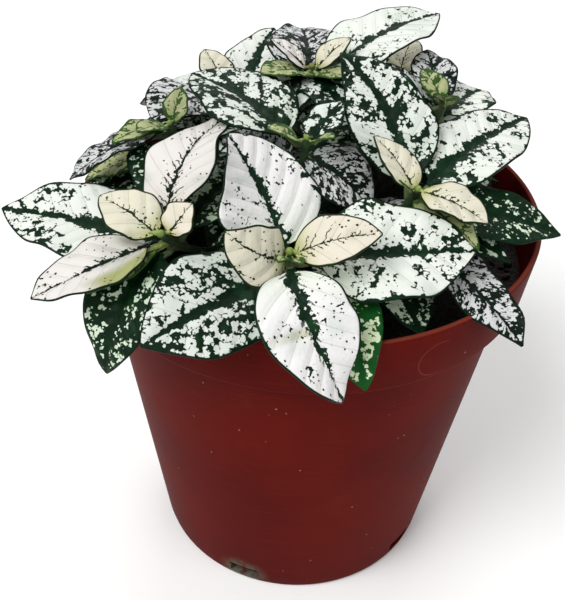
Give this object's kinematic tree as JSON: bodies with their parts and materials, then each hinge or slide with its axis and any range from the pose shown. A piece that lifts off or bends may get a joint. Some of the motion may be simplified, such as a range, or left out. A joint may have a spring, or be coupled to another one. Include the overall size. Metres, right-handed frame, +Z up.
{
  "type": "potted polka dot plant",
  "caption": "Bushy white-speckled polka dot plant with pink-cream young leaves, growing in soil in a round reddish-brown plastic nursery pot.",
  "frame": {"origin": "centre of the pot's flat underside, on the surface it stands on", "axes": "+Z up along the pot's axis, -Y towards the front of the plant, +X to the right seen from the front"},
  "size_m": [0.1348, 0.1475, 0.1491],
  "materials": {
    "pot": "satin moulded reddish-brown plastic",
    "soil": "loose dark peat with bits of bark and perlite",
    "stem": "soft green plant stem, dull",
    "leaf": "thin white leaf blotched and speckled near-black green, satin",
    "young_leaf": "thin cream to peach young leaf with fine dark dots, satin"
  },
  "bodies": {
    "root": {"pot": "pot", "soil": "soil", "stem_front": "stem", "leaf_front_1": "young_leaf", "leaf_front_2": "young_leaf", "leaf_front_3": "leaf", "leaf_front_4": "leaf", "leaf_front_5": "leaf", "leaf_front_6": "leaf", "leaf_front_7": "leaf", "stem_left": "stem", "leaf_left_1": "young_leaf", "leaf_left_2": "leaf", "leaf_left_3": "leaf", "leaf_left_4": "leaf", "leaf_left_5": "leaf", "leaf_left_6": "leaf", "stem_right": "stem", "leaf_right_1": "young_leaf", "leaf_right_2": "young_leaf", "leaf_right_3": "leaf", "leaf_right_4": "leaf", "leaf_right_5": "leaf", "leaf_right_6": "leaf", "leaf_right_7": "leaf", "leaf_right_8": "leaf", "leaf_right_9": "young_leaf", "stem_centre": "stem", "leaf_centre_1": "leaf", "leaf_centre_2": "leaf", "leaf_centre_3": "leaf", "leaf_centre_4": "leaf", "leaf_centre_5": "leaf", "stem_back": "stem", "leaf_back_1": "leaf", "leaf_back_2": "leaf", "leaf_back_3": "leaf", "stem_right_back": "stem", "leaf_right_back_1": "leaf", "leaf_right_back_2": "leaf", "leaf_right_back_3": "leaf", "leaf_right_back_4": "leaf", "stem_left_back": "stem", "leaf_left_back_1": "leaf", "leaf_left_back_2": "leaf", "leaf_left_back_3": "leaf", "leaf_left_back_4": "leaf", "stem_rear_left": "stem", "leaf_rear_left_1": "leaf", "leaf_rear_left_2": "leaf", "leaf_rear_left_3": "leaf", "leaf_rear_left_4": "leaf", "leaf_rear_left_5": "leaf", "stem_rear_right": "stem", "leaf_rear_right_1": "leaf", "leaf_rear_right_2": "leaf", "leaf_rear_right_3": "leaf", "leaf_rear_right_4": "leaf", "leaf_rear_right_5": "leaf", "leaf_rear_right_6": "leaf"}
  },
  "joints": []
}
